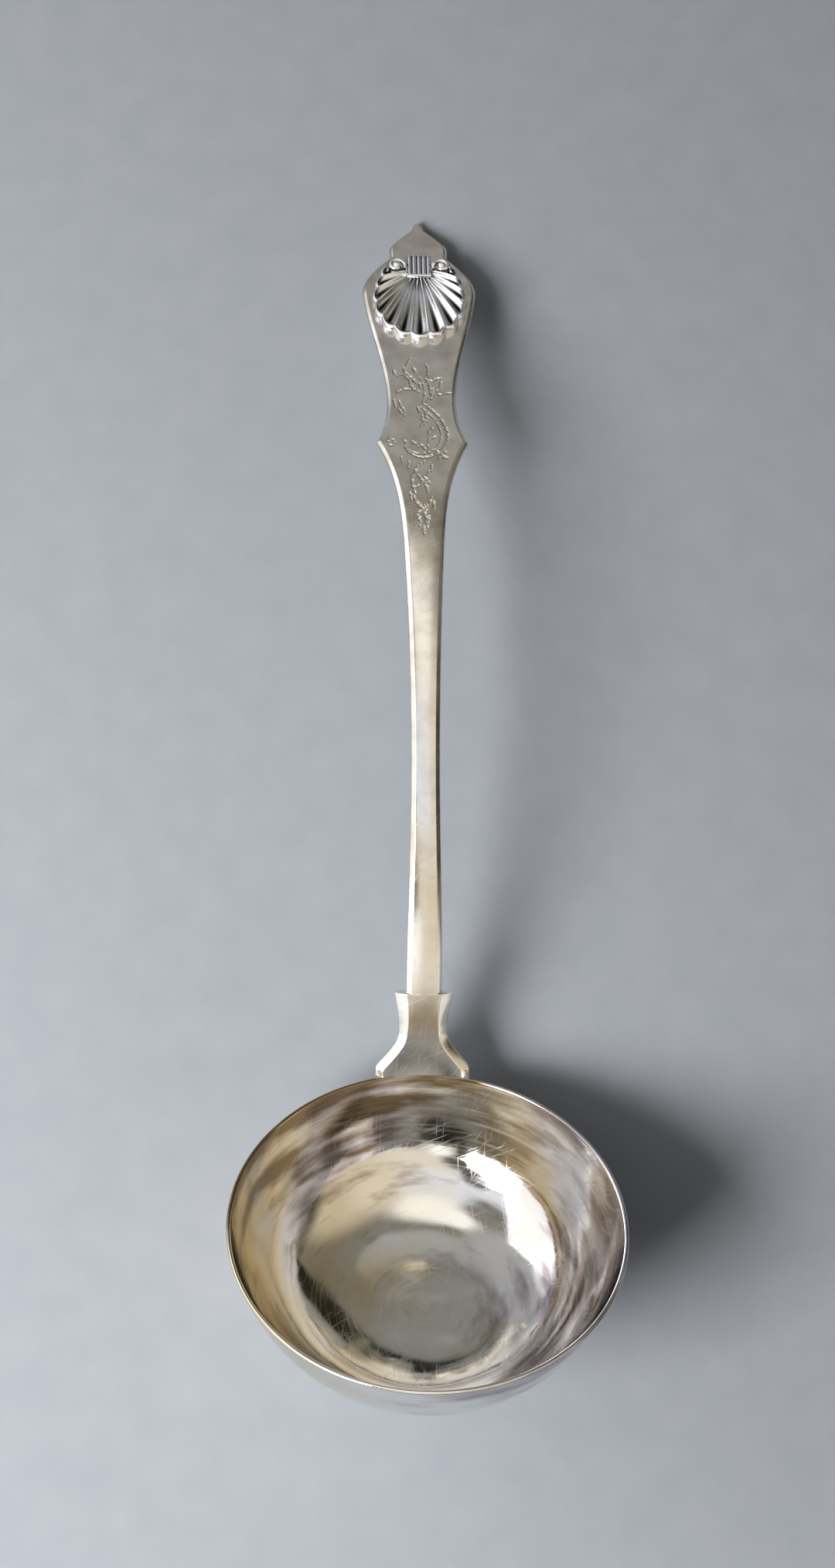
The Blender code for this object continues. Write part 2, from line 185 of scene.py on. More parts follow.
# The hinge: a band across its foot, then the reeds up to its back edge
HINGE_HEIGHT = 2.6 * MM
HINGE_BAND = 1.1 * MM
BAND_FOOT = 0.02 * MM
BAND_ROUND = 0.5 * MM
BAND_STEPS = 13
REED_RISE = 0.55 * MM
REED_STEPS = 14
REED_ROWS = 8
REEDS_FROM_BAND = 0.05 * MM
REEDS_TO_BACK = 0.25 * MM
BACK_DROP = 0.2 * MM

# The scrolls: a drum each, with a wire wound on it round a bead
SCROLL_RADIUS = 3.5 * MM
SCROLL_BASE = 2.4 * MM
SCROLL_OVERLAP = 0.2 * MM
SCROLL_WIRE = 0.8 * MM
SCROLL_EYE = 1.2 * MM
SCROLL_START = 1.15
SCROLL_TURNS = 0.93
DRUM_INSET = 0.2 * MM
DRUM_SIDES = 64
WIRE_STEPS = 80
WIRE_SIDES = 16
WIRE_TIP = 0.3
WIRE_SWELL = 6
WIRE_THINNING = 0.3
BEAD_SIDES = 32
SHELL_CREASE = 40

# Between which measures the shell's mark goes from dark to bright, or the other way in the pits.
# Its dark is oxide in the hollows together with painted shade: in the pits and roots of the flutes,
# between the reeds, on the step below the band and round the bases of the wires and beads
PIT_OXIDE_AND_SHADE = (0.5, 0.95)
ROOT_OXIDE_AND_SHADE = (0.10, 0.36)
REED_GAP_SHADE = (0.15, 0.5)
WIRE_BASE_SHADE = (-0.3, 0.4)
BEAD_BASE_SHADE = (0.1 * SCROLL_EYE, 0.5 * SCROLL_EYE)

# The camera that fits the photograph's outline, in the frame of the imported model
CAMERA_PLACE = Vector((-22.4, -132.4, 547.0)) * MM
CAMERA_TURN = [math.radians(angle) for angle in (13.18, -2.25, -0.17)]
CAMERA_VIEW = math.radians(45.0)


def laid_on_table():
    """The place of the bowl's own frame on the table, from the bowl's base in the record."""
    base = next(mount for mount in frame["record"]["mounts"] if mount["name"] == "bowl_base")
    up = -Vector(base["axis"]).normalized()
    across = Vector((1.0, 0.0, 0.0))
    turn = Matrix((across, up.cross(across), up)).transposed().to_4x4()
    return Matrix.Translation(Vector(base["pos_m"]) + up * BOWL_DEPTH) @ turn


LAID = laid_on_table()


def piece_of(name, body, material, node, crease):
    """Makes a finished piece from a bmesh in the bowl's frame, laid on the table for a CAD node.

    Edges sharper than crease, in degrees, stay sharp under smooth shading.
    """
    bmesh.ops.transform(body, matrix=LAID, verts=body.verts)
    mesh = bpy.data.meshes.new(name)
    body.to_mesh(mesh)
    body.free()
    mesh.materials.append(material)
    mesh.shade_smooth()
    mesh.set_sharp_from_angle(angle=math.radians(crease))
    piece = bpy.data.objects.new(name, mesh)
    bpy.context.scene.collection.objects.link(piece)
    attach(piece, "root")
    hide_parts(node)


# Bowl


def bowl_curve(lip_radius, floor):
    """Points (radius, z) of a bowl surface from its lip down to the edge of its flat base."""
    lip = Vector((lip_radius, 0.0))
    edge = Vector((BASE_RADIUS, floor))
    down = Vector((-math.cos(LIP_ANGLE), -math.sin(LIP_ANGLE)))
    points = interpolate_bezier(
        lip,
        lip + down * SIDE_FULLNESS,
        edge + Vector((BELLY_FULLNESS, 0.0)),
        edge,
        WALL_STEPS,
    )
    return np.array(points)[:, :2]


def uneven(spot):
    """How far hammering and wear moved the wall at this spot, dying out towards the true lip."""
    outward = spot.normalized()
    fade = min(max(-spot.z / TRUE_LIP, 0.0), 1.0)
    dents = noise.noise(outward * (BOWL_RADIUS / DENT_SPACING))
    ripples = noise.noise(outward * (BOWL_RADIUS / RIPPLE_SPACING) + RIPPLE_SHIFT)
    return outward * (dents * DENT_DEPTH + ripples * RIPPLE_DEPTH) * fade


def raised_bowl(material):
    """The bowl: a profile up the inside, round the lip and down the outside, spun and dented.

    The attribute turned has the wall's circle in x and y, and in z how far up the wall a point is.
    """
    inner = bowl_curve(BOWL_RADIUS - WALL, WALL - BOWL_DEPTH)[::-1]
    # a faint ring where the side's last planishing stopped
    from_ring = np.abs(inner[:, 1] + RING_BELOW_LIP)
    inner[:, 0] -= RING_HEIGHT * np.clip(1 - from_ring / RING_REACH, 0.0, 1.0)
    outer = bowl_curve(BOWL_RADIUS, -BOWL_DEPTH)
    half = WALL / 2
    sweep = np.linspace(math.pi, 0.0, LIP_STEPS + 1)[1:-1]
    lip = np.stack([BOWL_RADIUS - half + half * np.cos(sweep), half * np.sin(sweep)], axis=1)
    base = np.linspace(0.0, BASE_RADIUS, BASE_STEPS, endpoint=False)
    floor = np.stack([base, np.full(BASE_STEPS, WALL - BOWL_DEPTH)], axis=1)
    under = np.stack([base[::-1], np.full(BASE_STEPS, -BOWL_DEPTH)], axis=1)
    profile = np.concatenate([floor, inner, lip, outer, under])
    body = bmesh.new()
    verts = [body.verts.new((radius, 0.0, z)) for radius, z in profile]
    edges = [body.edges.new(pair) for pair in zip(verts, verts[1:])]
    bmesh.ops.spin(
        body,
        geom=verts + edges,
        cent=(0.0, 0.0, 0.0),
        axis=(0.0, 0.0, 1.0),
        angle=2 * math.pi,
        steps=BOWL_TURNS,
        use_merge=True,
    )
    bmesh.ops.remove_doubles(body, verts=body.verts, dist=WELD)
    bmesh.ops.recalc_face_normals(body, faces=body.faces)
    turned = body.verts.layers.float_vector.new("turned")
    for vert in body.verts:
        round_wall = Vector((vert.co.x, vert.co.y, 0.0))
        vert[turned] = round_wall * (BOWL_RADIUS / max(round_wall.length, BOWL_RADIUS / 2))
        vert[turned].z = round_wall.length + vert.co.z
        vert.co += uneven(vert.co)
    piece_of("raised_bowl", body, material, "bowl", BOWL_CREASE)


# Handle


class Arch:
    """The handle's front face above the lip, seen from the side, by its length from the lip."""

    def __init__(self):
        lip = Vector((BOWL_RADIUS - WALL, 0.0))
        end = lip + Vector((ARCH_REACH, ARCH_RISE))
        leaving = Vector((math.cos(LIP_ANGLE), math.sin(LIP_ANGLE)))
        arriving = Vector((math.cos(END_ANGLE), math.sin(END_ANGLE)))
        curve = interpolate_bezier(
            lip, lip + leaving * ARCH_PULL, end - arriving * ARCH_PULL, end, ARCH_POINTS
        )
        bend = np.array(curve)[:, :2]
        tip = np.array(end + arriving * END_LENGTH)
        self.points = np.concatenate([bend, [tip]])
        steps = np.diff(self.points, axis=0)
        self.lengths = np.concatenate([[0.0], np.cumsum(np.linalg.norm(steps, axis=1))])
        self.middles = (self.lengths[1:] + self.lengths[:-1]) / 2
        self.slopes = np.unwrap(np.arctan2(steps[:, 1], steps[:, 0]))
        self.length = self.lengths[-1]

    def at(self, length):
        """The place (y, z) at this length."""
        return np.array([np.interp(length, self.lengths, axis) for axis in self.points.T])

    def angle(self, length):
        """The slope at this length, as an angle above level."""
        return float(np.interp(length, self.middles, self.slopes))


ARCH = Arch()
CORNER = FOOT_SIDE
NECK = CORNER + FLARE_LENGTH
EARS = NECK + EAR_LENGTH
ROOT = EARS + EAR_STEP
FINIAL = ARCH.length - FINIAL_LENGTH
NOTCH = FINIAL - NOTCH_LENGTH
LOBE = NOTCH - LOBE_LENGTH
WAIST = LOBE - TAPER_LENGTH
SHOULDER = WAIST - SHOULDER_LENGTH
STEM_TOP = SHOULDER - SWEEP_LENGTH
STEM_MIDDLE = (ROOT + STEM_TOP) / 2

# The outline's spans: (from, to, half-width from, to, slope from, to)
OUTLINE = [
    (0.0, CORNER, FOOT_HALF, FOOT_HALF, 0.0, 0.0),
    (CORNER, NECK, FOOT_HALF, NECK_HALF, -0.95, 0.0),
    (NECK, EARS, NECK_HALF, EAR_HALF, 0.0, 0.17),
    (EARS, ROOT, EAR_HALF, STEM_ROOT_HALF, 0.0, 0.0),
    (ROOT, STEM_MIDDLE, STEM_ROOT_HALF, STEM_WAIST_HALF, 0.0, 0.0),
    (STEM_MIDDLE, STEM_TOP, STEM_WAIST_HALF, STEM_TOP_HALF, 0.0, 0.05),
    (STEM_TOP, SHOULDER, STEM_TOP_HALF, SHOULDER_HALF, 0.05, 0.48),
    (SHOULDER, WAIST, SHOULDER_HALF, WAIST_HALF, -0.45, 0.0),
    (WAIST, LOBE, WAIST_HALF, LOBE_HALF, 0.0, 0.1),
    (LOBE, NOTCH, LOBE_HALF, NOTCH_HALF, 0.0, -1.05),
    (NOTCH, FINIAL, NOTCH_HALF, FINIAL_HALF, 0.0, 0.0),
    (FINIAL, ARCH.length, FINIAL_HALF, TIP_HALF, -0.1, -0.15),
]


def half_width(length):
    """The handle's half-width at this length above the lip, on the outline's cubic spans."""
    for start, end, first, last, slope_first, slope_last in OUTLINE:
        if length <= end:
            break
    span = end - start
    t = min((length - start) / span, 1.0)
    return (
        (2 * t**3 - 3 * t**2 + 1) * first
        + (t**3 - 2 * t**2 + t) * span * slope_first
        + (3 * t**2 - 2 * t**3) * last
        + (t**3 - t**2) * span * slope_last
    )


def smooth_between(value, low, high):
    """0 below low, 1 above high, and a smooth rise between them."""
    t = min(max((value - low) / (high - low), 0.0), 1.0)
    return t * t * (3 - 2 * t)


def bevel_width(length):
    """Width of the bevel beside the flat face: widest at the ears, so the face runs on past them."""
    spots = [
        (0.0, FOOT_BEVEL),
        (CORNER, FOOT_BEVEL),
        (NECK, NECK_BEVEL),
        (EARS - EAR_BEVEL_RUN, EAR_BEVEL),
        (EARS, EAR_BEVEL),
        (ROOT, STEM_BEVEL),
        (STEM_TOP, STEM_BEVEL),
        (SHOULDER, END_BEVEL),
    ]
    return float(np.interp(length, *zip(*spots)))


def thickness(length):
    """The handle's thickness at this length above the lip."""
    spots = [
        (0.0, LAP_THICKNESS + WALL),
        (NECK, EAR_THICKNESS),
        (ROOT, EAR_THICKNESS),
        (STEM_MIDDLE, STEM_THICKNESS),
        (STEM_TOP, (STEM_THICKNESS + END_THICKNESS) / 2),
        (SHOULDER, END_THICKNESS),
    ]
    return float(np.interp(length, *zip(*spots)))


def rounded(before, corner, after, radius):
    """Points round a worn corner between two neighbours of it."""
    back, on = before - corner, after - corner
    first = corner + back.normalized() * min(radius, back.length * WORN_SHARE)
    last = corner + on.normalized() * min(radius, on.length * WORN_SHARE)
    return [
        (1 - t) ** 2 * first + 2 * t * (1 - t) * corner + t**2 * last
        for t in np.linspace(0, 1, EDGE_POINTS).tolist()
    ]


def section(half, bevel, depth, crown):
    """The points (offset, depth) round the handle's section, its front from +X to -X first."""
    bevel = min(bevel, half / 2)
    back = min(BACK_BEVEL, half / 2, depth / 3)
    drop = min(BEVEL_SLOPE * bevel, BEVEL_SHARE * (depth - back))
    flat = half - bevel
    corners = [
        Vector(point)
        for point in (
            (flat, 0.0),
            (-flat, 0.0),
            (-half, -drop),
            (-half, back - depth),
            (back - half, -depth),
            (half - back, -depth),
            (half, back - depth),
            (half, -drop),
        )
    ]
    worn = [
        rounded(corners[i - 1], corner, corners[(i + 1) % len(corners)], WORN_EDGE)
        for i, corner in enumerate(corners)
    ]
    face_end = worn[0][-1].x
    face = [
        Vector((x * face_end, crown * (1 - x * x)))
        for x in np.linspace(1, -1, FACE_POINTS)
    ]
    behind = [
        worn[4][-1].lerp(worn[5][0], share)
        for share in np.linspace(0, 1, BACK_POINTS + 2)[1:-1].tolist()
    ]
    ring = face + worn[1][1:] + worn[2] + worn[3] + worn[4] + behind
    return ring + worn[5] + worn[6] + worn[7] + worn[0][:-1]


def tongue_stations():
    """Stations of the tongue on the bowl's outside, from its end up to the lip.

    A station is (y, z, angle, section, wrap), and wrap tells how far it bends round the bowl, 0 to 1.
    """
    outer = bowl_curve(BOWL_RADIUS, -BOWL_DEPTH)
    steps = np.diff(outer, axis=0)
    lengths = np.concatenate([[0.0], np.cumsum(np.linalg.norm(steps, axis=1))])
    slopes = np.arctan2(-steps[:, 1], -steps[:, 0])
    stations = []
    for turn in np.linspace(TONGUE_TIP, 0.5, TONGUE_STEPS) * math.pi:
        below = LAP_LENGTH * math.cos(turn)
        y, z = (np.interp(below, lengths, axis) for axis in outer.T)
        angle = float(np.interp(below, lengths[1:], slopes))
        depth = LAP_EDGE + (LAP_THICKNESS - LAP_EDGE) * (1 - below / LAP_LENGTH)
        half = FOOT_HALF * math.sin(turn)
        y, z = y + SOLDER * math.sin(angle), z - SOLDER * math.cos(angle)
        stations.append((y, z, angle, section(half, LAP_BEVEL, depth, 0.0), 1.0))
    return stations


def lip_stations():
    """Stations where the foot turns over the bowl's half-round lip."""
    back = BOWL_RADIUS + LAP_THICKNESS
    radius = WALL / 2 + SOLDER
    stations = []
    for turn in LIP_TURNS:
        y = BOWL_RADIUS - WALL / 2 + radius * math.cos(math.radians(turn))
        z = radius * math.sin(math.radians(turn))
        ring = section(FOOT_HALF, LAP_BEVEL, back - y, 0.0)
        stations.append((y, z, UPRIGHT, ring, 1.0))
    return stations


def arch_lengths():
    """The lengths above the lip of the handle's stations, which stand close where it is cut."""
    spans = [
        (FOOT_FROM, EARS - BEFORE_EARS, FOOT_STEP),
        (EARS - BEFORE_EARS, ROOT + PAST_EARS, EAR_STEP / 3),
        (ROOT + PAST_EARS, STEM_TOP, STEM_STEP),
        (STEM_TOP, ENGRAVED_FROM, END_STEP),
        (ENGRAVED_FROM, ENGRAVED_TO, ENGRAVED_STEP),
        (ENGRAVED_TO, ARCH.length, END_STEP),
    ]
    lengths = [
        np.linspace(start, end, max(int(round((end - start) / step)), 1), endpoint=False)
        for start, end, step in spans
    ]
    return np.unique(np.concatenate([*lengths, [SHOULDER, NOTCH, FINIAL, ARCH.length]]))


def arch_stations(lengths):
    """Stations of the handle above the lip, at these lengths."""
    stations = []
    for length in lengths:
        y, z = ARCH.at(length)
        lean = smooth_between(length, 0.0, NECK)
        angle = UPRIGHT + (ARCH.angle(length) - UPRIGHT) * lean
        crown = STEM_CROWN * smooth_between(length, NECK, ROOT)
        crown *= 1 - smooth_between(length, STEM_TOP, SHOULDER)
        ring = section(half_width(length), bevel_width(length), thickness(length), crown)
        stations.append((y, z, angle, ring, max(1 - length / NECK, 0.0) ** 2))
    return stations


# The engraver's cuts on the flat end, in millimetres and degrees: where each starts across the face
# and along it from the lip, its heading from straight across, its length, how far it turns and how
# late, and its weight
CUTS = [
    # open scroll round the blank shield
    (0.6, 206.6, -45, 34.5, -215, 0.9, 0.95),
    (-0.4, 205.2, -45, 29.5, -210, 0.9, 0.5),
    # acanthus inside it
    (-1.3, 205.3, -60, 2.4, -30, 0.0, 0.8),
    (1.2, 203.2, -75, 4.4, -60, 0.3, 1.0),
    (0.2, 201.8, -100, 3.4, 50, 0.3, 0.7),
    (1.9, 199.5, -170, 3.2, 70, 0.3, 0.8),
    (3.6, 197.0, -150, 3.4, 60, 0.2, 0.7),
    (3.9, 193.6, -165, 3.2, 60, 0.2, 0.7),
    (-5.2, 192.0, -80, 2.2, 20, 0.0, 0.9),
    (-3.0, 191.8, -55, 2.8, 20, 0.0, 0.9),
    (-0.5, 190.6, -60, 2.4, 20, 0.0, 0.7),
    (1.6, 190.4, -80, 2.4, 20, 0.0, 0.7),
    # flower to its right
    (4.2, 188.2, -60, 3.4, -160, 0.0, 0.7),
    (6.9, 188.0, -110, 3.6, -150, 0.0, 0.7),
    (7.4, 185.6, -170, 3.4, -150, 0.0, 0.7),
    (4.6, 184.6, 90, 3.0, -150, 0.0, 0.7),
    # bud at its left
    (-9.6, 193.4, -30, 2.6, -170, 0.0, 0.7),
    (-8.4, 192.4, -140, 2.4, -160, 0.0, 0.6),
    (-9.8, 190.2, -20, 2.6, 120, 0.0, 0.7),
    # spray above
    (0.2, 206.8, 70, 11.0, 55, 0.2, 0.7),
    (1.4, 207.2, 50, 10.0, -70, 0.4, 0.7),
    (-0.6, 211.0, 150, 6.0, -70, 0.3, 0.9),
    (-1.2, 214.5, 120, 7.0, 60, 0.3, 0.9),
    (0.6, 213.0, 60, 7.0, -60, 0.4, 0.9),
    (2.6, 210.5, 80, 6.5, 50, 0.3, 0.8),
    (4.2, 211.4, 30, 4.5, 70, 0.3, 0.8),
    (-2.5, 216.8, 150, 5.0, -60, 0.3, 0.9),
    (-3.4, 212.2, 175, 4.6, 60, 0.3, 0.8),
    (1.8, 217.4, 70, 5.0, 50, 0.3, 0.8),
    # leaves at the left of the spray
    (-8.2, 208.0, -85, 3.0, 10, 0.0, 0.7),
    (-6.6, 207.4, -80, 3.2, 15, 0.0, 0.8),
    (-6.9, 204.6, -70, 2.4, 20, 0.0, 0.7),
    (-5.4, 204.8, -75, 3.2, -20, 0.0, 0.9),
    # spray below
    (0.9, 184.6, -138, 13.5, 75, 0.3, 0.95),
    (1.8, 180.6, -95, 8.0, -70, 0.3, 0.9),
    (-1.4, 179.0, -70, 4.0, 40, 0.2, 0.8),
    (0.6, 175.4, -60, 3.0, -40, 0.2, 0.9),
    (-2.8, 171.6, -80, 7.0, 60, 0.3, 0.9),
    (2.4, 171.0, -100, 7.0, -60, 0.3, 0.9),
    (0.2, 168.0, -90, 6.5, 20, 0.0, 0.9),
    (-1.8, 164.6, -60, 4.0, -50, 0.2, 0.8),
    (1.6, 164.2, -120, 4.0, 50, 0.2, 0.8),
    (0.0, 160.6, -90, 2.8, 0, 0.0, 0.8),
    # flecks that fill the ground
    (-8.2, 219.8, -75, 2.6, 20, 0.0, 0.9),
    (-4.9, 217.6, -50, 3.0, 15, 0.0, 0.9),
    (-2.4, 221.0, -60, 2.6, -20, 0.0, 0.9),
    (-0.6, 215.2, -80, 2.4, 10, 0.0, 0.9),
    (3.5, 212.6, -95, 3.2, 0, 0.0, 0.9),
    (6.0, 215.2, -100, 3.0, 10, 0.0, 0.8),
    (-3.0, 224.8, -115, 6.4, 15, 0.0, 0.5),
    (-6.2, 185.6, -80, 2.0, 0, 0.0, 0.6),
    (-4.0, 183.8, -95, 2.2, 0, 0.0, 0.6),
    (2.7, 182.6, -100, 2.2, 0, 0.0, 0.8),
    (0.4, 178.2, -60, 2.8, 10, 0.0, 0.9),
    (-3.9, 172.6, -80, 2.6, 0, 0.0, 0.7),
    (2.9, 169.6, -85, 2.8, 0, 0.0, 0.8),
]
# How a cut is worked, in millimetres: its points, the graver's wriggle and the widest cut; then its
# swelling from point to point and its pressing, as shares
CUT_SPACING = 0.08
WRIGGLE_PITCH = 1.2
WRIGGLE_HALF = 0.3
CUT_WIDTH = 1.15
SWELL_EARLY = 0.8
SWELL_POINT = 0.1
SWELL_FULL = 0.6
PRESSING = 0.75
LIGHTEST = 0.4


def cut_points():
    """Points (across, along, width, depth) down the middle of every cut, with a depth of 0 to 1.

    The graver is rocked from side to side by hand, so a cut is an uneven zigzag about its line.
    """
    points = []
    for across, along, heading, length, turn, late, weight in CUTS:
        shares = np.linspace(0, 1, max(int(length / CUT_SPACING), 2))
        headings = np.radians(heading + turn * (shares + late * (shares**2 - shares)))
        step = length / (len(shares) - 1)
        xs = across + np.concatenate([[0.0], np.cumsum(np.cos(headings[:-1]) * step)])
        ys = along + np.concatenate([[0.0], np.cumsum(np.sin(headings[:-1]) * step)])
        bow = np.clip(np.sin(math.pi * shares**SWELL_EARLY), SWELL_POINT, 1.0)
        swell = weight * bow**SWELL_FULL
        hand = np.array([noise.noise(Vector((x, y, weight))) for x, y in zip(xs, ys)])
        beat = np.abs((shares * length / WRIGGLE_PITCH + hand) % 1.0 - 0.5) * 4 - 1
        aside = WRIGGLE_HALF * swell * beat
        xs, ys = xs - np.sin(headings) * aside, ys + np.cos(headings) * aside
        widths = CUT_WIDTH * (0.5 + 0.5 * swell)
        depths = np.clip(PRESSING + hand, LIGHTEST, 1.0)
        points += list(zip(xs, ys, widths, depths))
    return points


def graver():
    """A function of a point on the face that tells how deep a cut is there, 0 to 1."""
    points = cut_points()
    tree = kdtree.KDTree(len(points))
    for index, (across, along, _, _) in enumerate(points):
        tree.insert((across, along, 0.0), index)
    tree.balance()

    def cut(across, along):
        _, nearest, distance = tree.find((across / MM, along / MM, 0.0))
        _, _, width, depth = points[nearest]
        return depth * max(1 - distance / (width / 2), 0.0)

    return cut


def rolled_up(points, marks):
    """A closed tube from rows of ring points: a grid rolled up, with welded seam and filled ends.

    marks holds one number for each point, kept on the mesh as the attribute uncut.
    """
    rows, columns = points.shape[:2]
    body = bmesh.new()
    bmesh.ops.create_grid(body, x_segments=columns, y_segments=rows - 1, size=1.0)
    layer = body.verts.layers.float.new("uncut")
    body.verts.index_update()
    for vert in body.verts:
        row, column = divmod(vert.index, columns + 1)
        vert.co = points[row, column % columns]
        vert[layer] = marks[row, column % columns]
    bmesh.ops.remove_doubles(body, verts=body.verts, dist=RING_WELD)
    bmesh.ops.holes_fill(body, edges=[edge for edge in body.edges if edge.is_boundary], sides=0)
    bmesh.ops.recalc_face_normals(body, faces=body.faces)
    return body


def forged_handle(material):
    """The handle from its tongue's end to the tip, with the engraving cut into its flat end."""
    lengths = arch_lengths()
    below = tongue_stations() + lip_stations()
    stations = below + arch_stations(lengths)
    cut = graver()
    points = np.zeros((len(stations), len(stations[0][3]), 3))
    marks = np.ones(points.shape[:2])
    for row, (y, z, angle, ring, wrap) in enumerate(stations):
        length = lengths[row - len(below)] if row >= len(below) else 0.0
        engraved = ENGRAVED_FROM < length < ENGRAVED_TO
        for column, (offset, depth) in enumerate(ring):
            if engraved and column < FACE_POINTS:
                bite = cut(offset, length)
                marks[row, column] = 1 - bite
                depth -= bite * CUT_DEPTH
            sag = (y - math.sqrt(y * y - offset * offset)) * wrap if wrap else 0.0
            points[row, column] = (
                offset,
                y - math.sin(angle) * depth - sag,
                z + math.cos(angle) * depth,
            )
    body = rolled_up(points, marks)
    piece_of("forged_handle", body, material, "handle", HANDLE_CREASE)


# Shell


def scoop(along):
    """How deep a flute is at this share of its length: deepest short of the rim, level at it."""
    peak = (FLUTE_FALL / (FLUTE_FALL + FLUTE_LIP)) ** (1 / FLUTE_LIP)
    most = peak**FLUTE_FALL * (1 - peak**FLUTE_LIP)
    return along**FLUTE_FALL * (1 - along**FLUTE_LIP) / most


def fan_point(across, along, roll):
    """A point of the shell's top, and how bright it is left, 0 to 1: dark in the pits and roots of
    the flutes, as oxide together with painted shade.

    across runs over the flutes, along from hinge to rim, 0 to 1, and roll turns over the rim's
    rounded edge, from 0 to a right angle.
    """
    side = 1 - 2 * across
    swing = SHELL_SPREAD / 2 * (SHELL_CROWD * side + (1 - SHELL_CROWD) * side**3)
    facing = (1 + math.cos(swing)) / 2
    hollow = abs(math.sin(math.pi * FLUTES * across))
    rim = SHELL_SIDE + (SHELL_LENGTH - SHELL_SIDE) * facing**SHELL_TAPER
    rim += SCALLOP * (hollow - 1) - RIM_ROUND
    outward = Vector((math.sin(swing), -math.cos(swing), 0.0))
    middle = Vector((0.0, ROOT_ABOVE_BAND, 0.0))
    start = middle + (outward * rim - middle).normalized() * ROOT_RADIUS
    dome = math.sin(math.pi * RIDGE_DOME * along)
    ridge = ROOT_HEIGHT + (RIDGE_HEIGHT - ROOT_HEIGHT) * dome
    worn = math.sqrt(hollow**2 + RIDGE_WEAR) - math.sqrt(RIDGE_WEAR)
    deep = worn / (math.sqrt(1 + RIDGE_WEAR) - math.sqrt(RIDGE_WEAR)) * scoop(along)
    height = ridge - FLUTE_DEPTH * deep - RIM_FALL * (1 - math.cos(roll))
    # the pits and the flutes' roots are left dark: oxide in the hollows, with painted shade in them
    pit = smooth_between(deep * hollow, *PIT_OXIDE_AND_SHADE)
    root = hollow * (1 - smooth_between(along, *ROOT_OXIDE_AND_SHADE))
    spot = start.lerp(outward * rim, along) + outward * (RIM_ROUND * math.sin(roll))
    spot.z = height
    return spot, 1 - max(pit, root)


def loose(name, body):
    """A bmesh as a mesh object that waits to be joined to the shell."""
    bmesh.ops.recalc_face_normals(body, faces=body.faces)
    mesh = bpy.data.meshes.new(name)
    body.to_mesh(mesh)
    body.free()
    made = bpy.data.objects.new(name, mesh)
    bpy.context.scene.collection.objects.link(made)
    return made


def closed_below(body):
    """Draws a sheet's edge down to the shell's seat and closes it there."""
    edges = [edge for edge in body.edges if edge.is_boundary]
    made = bmesh.ops.extrude_edge_only(body, edges=edges)["geom"]
    for item in made:
        if isinstance(item, bmesh.types.BMVert):
            item.co.z = 0.0
    bmesh.ops.contextual_create(
        body, geom=[item for item in made if isinstance(item, bmesh.types.BMEdge)]
    )


def shell_fan():
    """The fan of hollow flutes: a grid bent into the fan, rolled over at the rim, closed below."""
    rows = FLUTE_ROWS + RIM_STEPS
    body = bmesh.new()
    bmesh.ops.create_grid(body, x_segments=FLUTES * FLUTE_STEPS, y_segments=rows, size=0.5)
    polish_oxide_and_shade = body.verts.layers.float.new("polish_oxide_and_shade")
    for vert in body.verts:
        row = (vert.co.y + 0.5) * rows
        along = 1 - (1 - min(row / FLUTE_ROWS, 1.0)) ** ROW_CROWD
        roll = max(row - FLUTE_ROWS, 0.0) / RIM_STEPS * math.pi / 2
        vert.co, vert[polish_oxide_and_shade] = fan_point(vert.co.x + 0.5, along, roll)
    closed_below(body)
    return loose("fan", body)


def shell_hinge():
    """The reeded hinge bar above the fan, with a round band across its foot."""
    foot = [-HINGE_OVERLAP, -BAND_FOOT]
    band = np.linspace(0.0, HINGE_BAND, BAND_STEPS)
    reeds = np.linspace(HINGE_BAND + REEDS_FROM_BAND, HINGE_LENGTH - REEDS_TO_BACK, REED_ROWS)
    stations = [*foot, *band, *reeds, HINGE_LENGTH]
    columns = REEDS * REED_STEPS
    body = bmesh.new()
    bmesh.ops.create_grid(body, x_segments=columns, y_segments=len(stations) - 1, size=1.0)
    polish_oxide_and_shade = body.verts.layers.float.new("polish_oxide_and_shade")
    body.verts.index_update()
    for vert in body.verts:
        row, column = divmod(vert.index, columns + 1)
        y = stations[row]
        reed = abs(math.sin(math.pi * REEDS * column / columns))
        # the step below the band is left dark and the reeds darken in their gaps: painted shade
        if y < 0.0:
            z, bright = ROOT_HEIGHT / 3, 0.0
        elif y <= HINGE_BAND:
            z = HINGE_HEIGHT - BAND_ROUND * (1 - math.sqrt(1 - (2 * y / HINGE_BAND - 1) ** 2))
            bright = 1.0
        else:
            z = HINGE_HEIGHT - REED_RISE * (1 - reed)
            bright = smooth_between(reed, *REED_GAP_SHADE)
        if y == HINGE_LENGTH:
            z -= BACK_DROP
        vert.co = (HINGE_HALF * (2 * column / columns - 1), y, z)
        vert[polish_oxide_and_shade] = bright
    closed_below(body)
    return loose("hinge", body)


